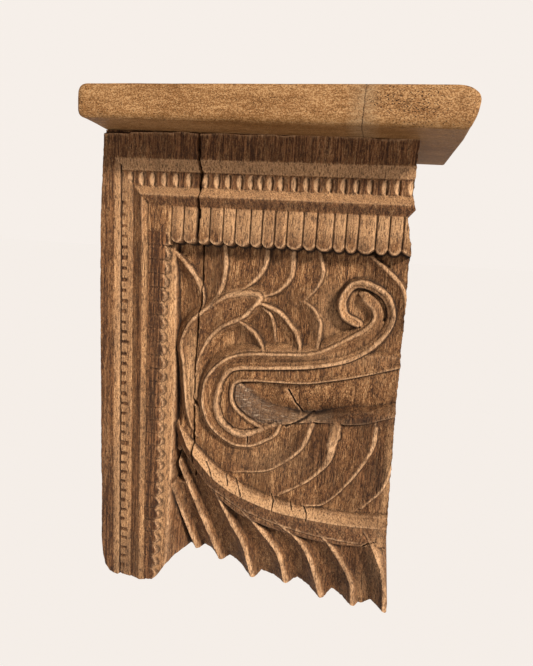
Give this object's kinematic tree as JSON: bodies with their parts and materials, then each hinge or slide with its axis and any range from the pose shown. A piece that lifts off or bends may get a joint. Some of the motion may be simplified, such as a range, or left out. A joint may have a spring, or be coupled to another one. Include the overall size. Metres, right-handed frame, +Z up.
{
  "type": "carved corbel bracket",
  "caption": "Wooden wall bracket: a thick block carved with an L-shaped moulded frame, a scroll and leaves and pointed leaf tips, carrying a plain plank shelf on top.",
  "frame": {"origin": "centre of the carved block's flat back, on the wall", "axes": "+Z up, -Y out from the wall towards the room, +X to the right as seen from the room"},
  "size_m": [0.3816, 0.213, 0.5571],
  "materials": {
    "carved_wood": "weathered, unvarnished",
    "shelf_wood": "waxed, worn smooth"
  },
  "bodies": {
    "root": {"carved_corbel": "carved_wood", "shelf_board": "shelf_wood"}
  },
  "joints": []
}
